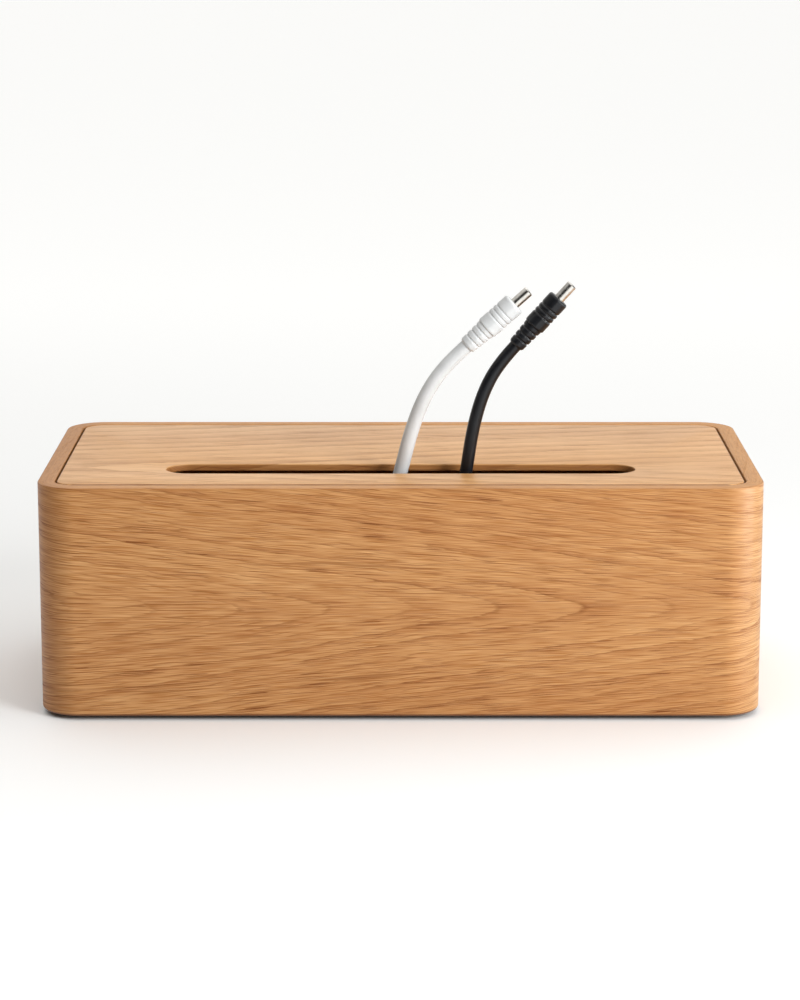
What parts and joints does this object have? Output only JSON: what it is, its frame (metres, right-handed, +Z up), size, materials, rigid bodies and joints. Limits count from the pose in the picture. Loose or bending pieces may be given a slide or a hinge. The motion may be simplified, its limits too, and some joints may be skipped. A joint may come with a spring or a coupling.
{
  "type": "cable management box",
  "caption": "Low oak box with rounded corners and a flush lift-off lid; round leads rise through the long slot near the lid's front.",
  "frame": {"origin": "on the surface the box stands on, under the middle of the box", "axes": "+Z up, +X to the right along the front, the front looks towards -Y"},
  "size_m": [0.36, 0.18, 0.2133],
  "materials": {
    "oak_wall": "oiled oak veneer, satin",
    "oak_lid": "oiled oak veneer, satin",
    "oak_ply": "sanded ply",
    "oak_strip": "planed oak",
    "foot_rubber": "matte",
    "screw_steel": "zinc plated",
    "white_sheath": "soft vinyl",
    "white_grip": "moulded vinyl",
    "black_sheath": "soft vinyl",
    "black_grip": "moulded vinyl",
    "tie_fabric": "woven hook strap",
    "contact_nickel": "nickel plated"
  },
  "bodies": {
    "box": {"wall_band": "oak_wall", "base_panel": "oak_ply", "foot_front_left": "foot_rubber", "foot_front_right": "foot_rubber", "foot_back_left": "foot_rubber", "foot_back_right": "foot_rubber", "lid_rest_front": "oak_strip", "lid_rest_back": "oak_strip", "lid_rest_left": "oak_strip", "lid_rest_right": "oak_strip", "rest_screws": "screw_steel", "foot_screws": "screw_steel", "white_cord_run": "white_sheath", "white_cord_coil": "white_sheath", "white_coil_tie": "tie_fabric", "white_plug_relief": "white_grip", "white_plug_grip": "white_grip", "white_plug_barrel": "contact_nickel", "white_socket_relief": "white_grip", "white_socket_grip": "white_grip", "white_socket_contact": "contact_nickel", "black_cord_run": "black_sheath", "black_cord_coil": "black_sheath", "black_coil_tie": "tie_fabric", "black_plug_relief": "black_grip", "black_plug_grip": "black_grip", "black_plug_barrel": "contact_nickel", "black_socket_relief": "black_grip", "black_socket_grip": "black_grip", "black_socket_contact": "contact_nickel"},
    "lid": {"lid_panel": "oak_lid", "lid_batten_left": "oak_strip", "lid_batten_right": "oak_strip"}
  },
  "joints": [
    {"name": "lid_lift", "type": "slide", "parent": "box", "child": "lid", "axis": [0, 0, 1], "range_m": [0, 0.125]}
  ]
}
